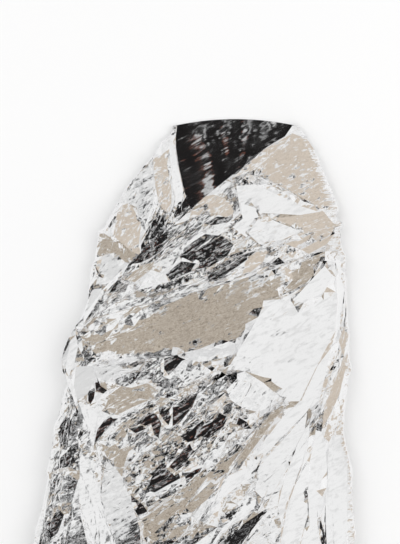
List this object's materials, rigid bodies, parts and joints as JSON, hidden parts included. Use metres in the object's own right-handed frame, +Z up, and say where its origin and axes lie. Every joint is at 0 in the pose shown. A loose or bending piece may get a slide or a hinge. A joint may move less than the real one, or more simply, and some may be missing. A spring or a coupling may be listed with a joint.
{
  "type": "emergency foil blanket",
  "caption": "Thin silver metallised film blanket laid flat and folded as a loose wrap: a back layer with side flaps crossing over it, crinkled and pleated.",
  "frame": {"origin": "middle of the laid blanket's bounding box in plan, on the floor that it lies on", "axes": "+Y from the hem to the neck edge, +X to the side that the upper flap is folded over from, +Z up from the floor"},
  "size_m": [0.6504, 1.3179, 0.1085],
  "materials": {
    "foil_film": "bright metallised polyester film, crinkled, mirror-like"
  },
  "bodies": {
    "root": {"foil_sheet": "foil_film"}
  },
  "joints": []
}
